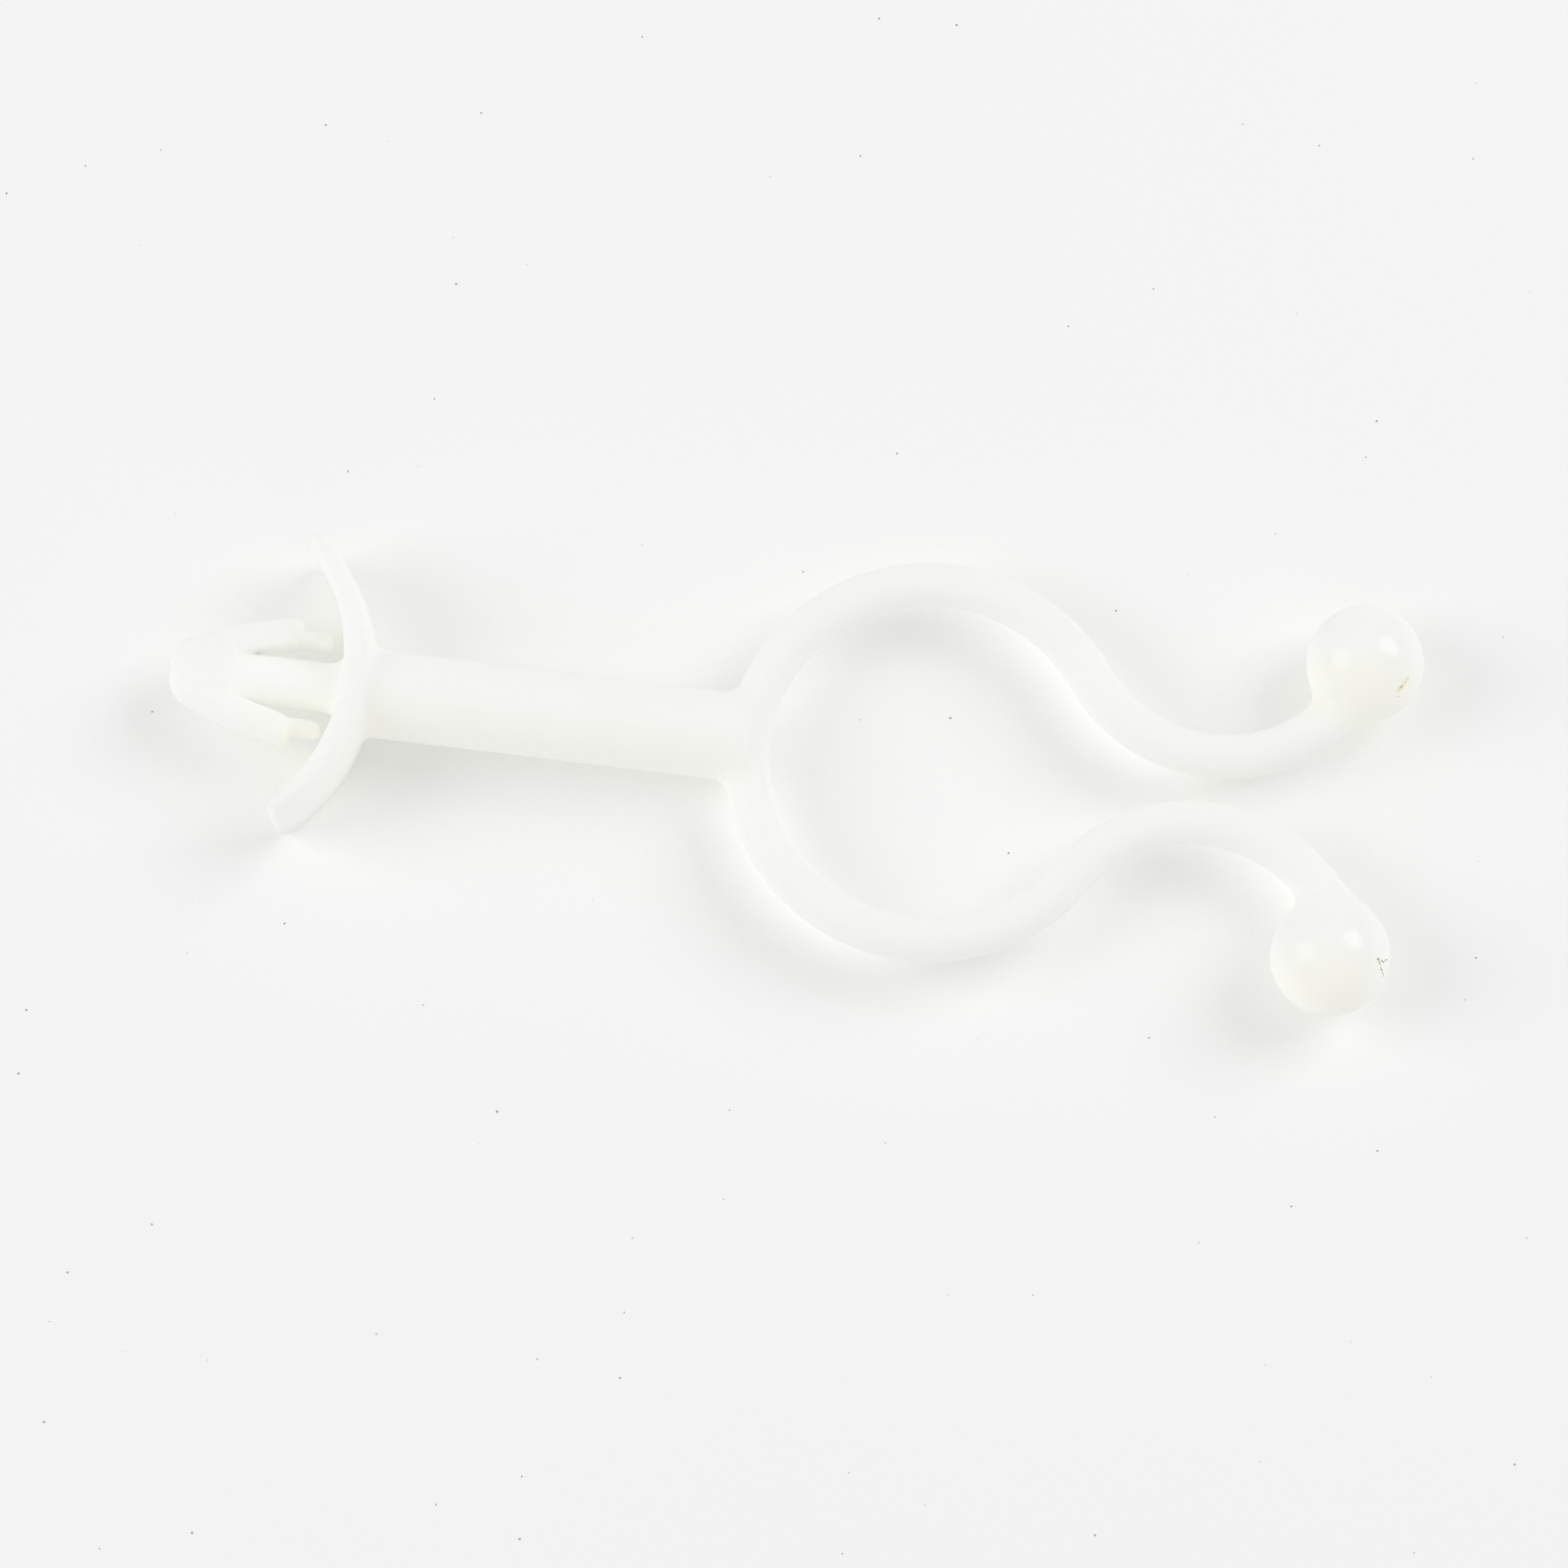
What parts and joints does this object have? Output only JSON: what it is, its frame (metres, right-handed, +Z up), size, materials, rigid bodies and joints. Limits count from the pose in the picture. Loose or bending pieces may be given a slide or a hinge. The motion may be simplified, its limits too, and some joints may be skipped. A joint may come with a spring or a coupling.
{
  "type": "cable clamp",
  "caption": "Moulded stand-off cable clamp: a snap barb with a bow wing, a round post and an open wire ring whose ball-ended arms twist past each other to close it.",
  "frame": {"origin": "on the surface that the clamp lies on, below the middle of its box; the post's axis runs over it, 2.65 mm up", "axes": "+X along the post, from the barb's nose to the two balls; +Y across, in the plane of the ring; +Z up, square to the ring"},
  "size_m": [0.0563, 0.019, 0.0053],
  "materials": {
    "moulding": "natural, slightly translucent moulded polyamide, smooth with a soft sheen"
  },
  "bodies": {
    "root": {"clamp": "moulding"}
  },
  "joints": []
}
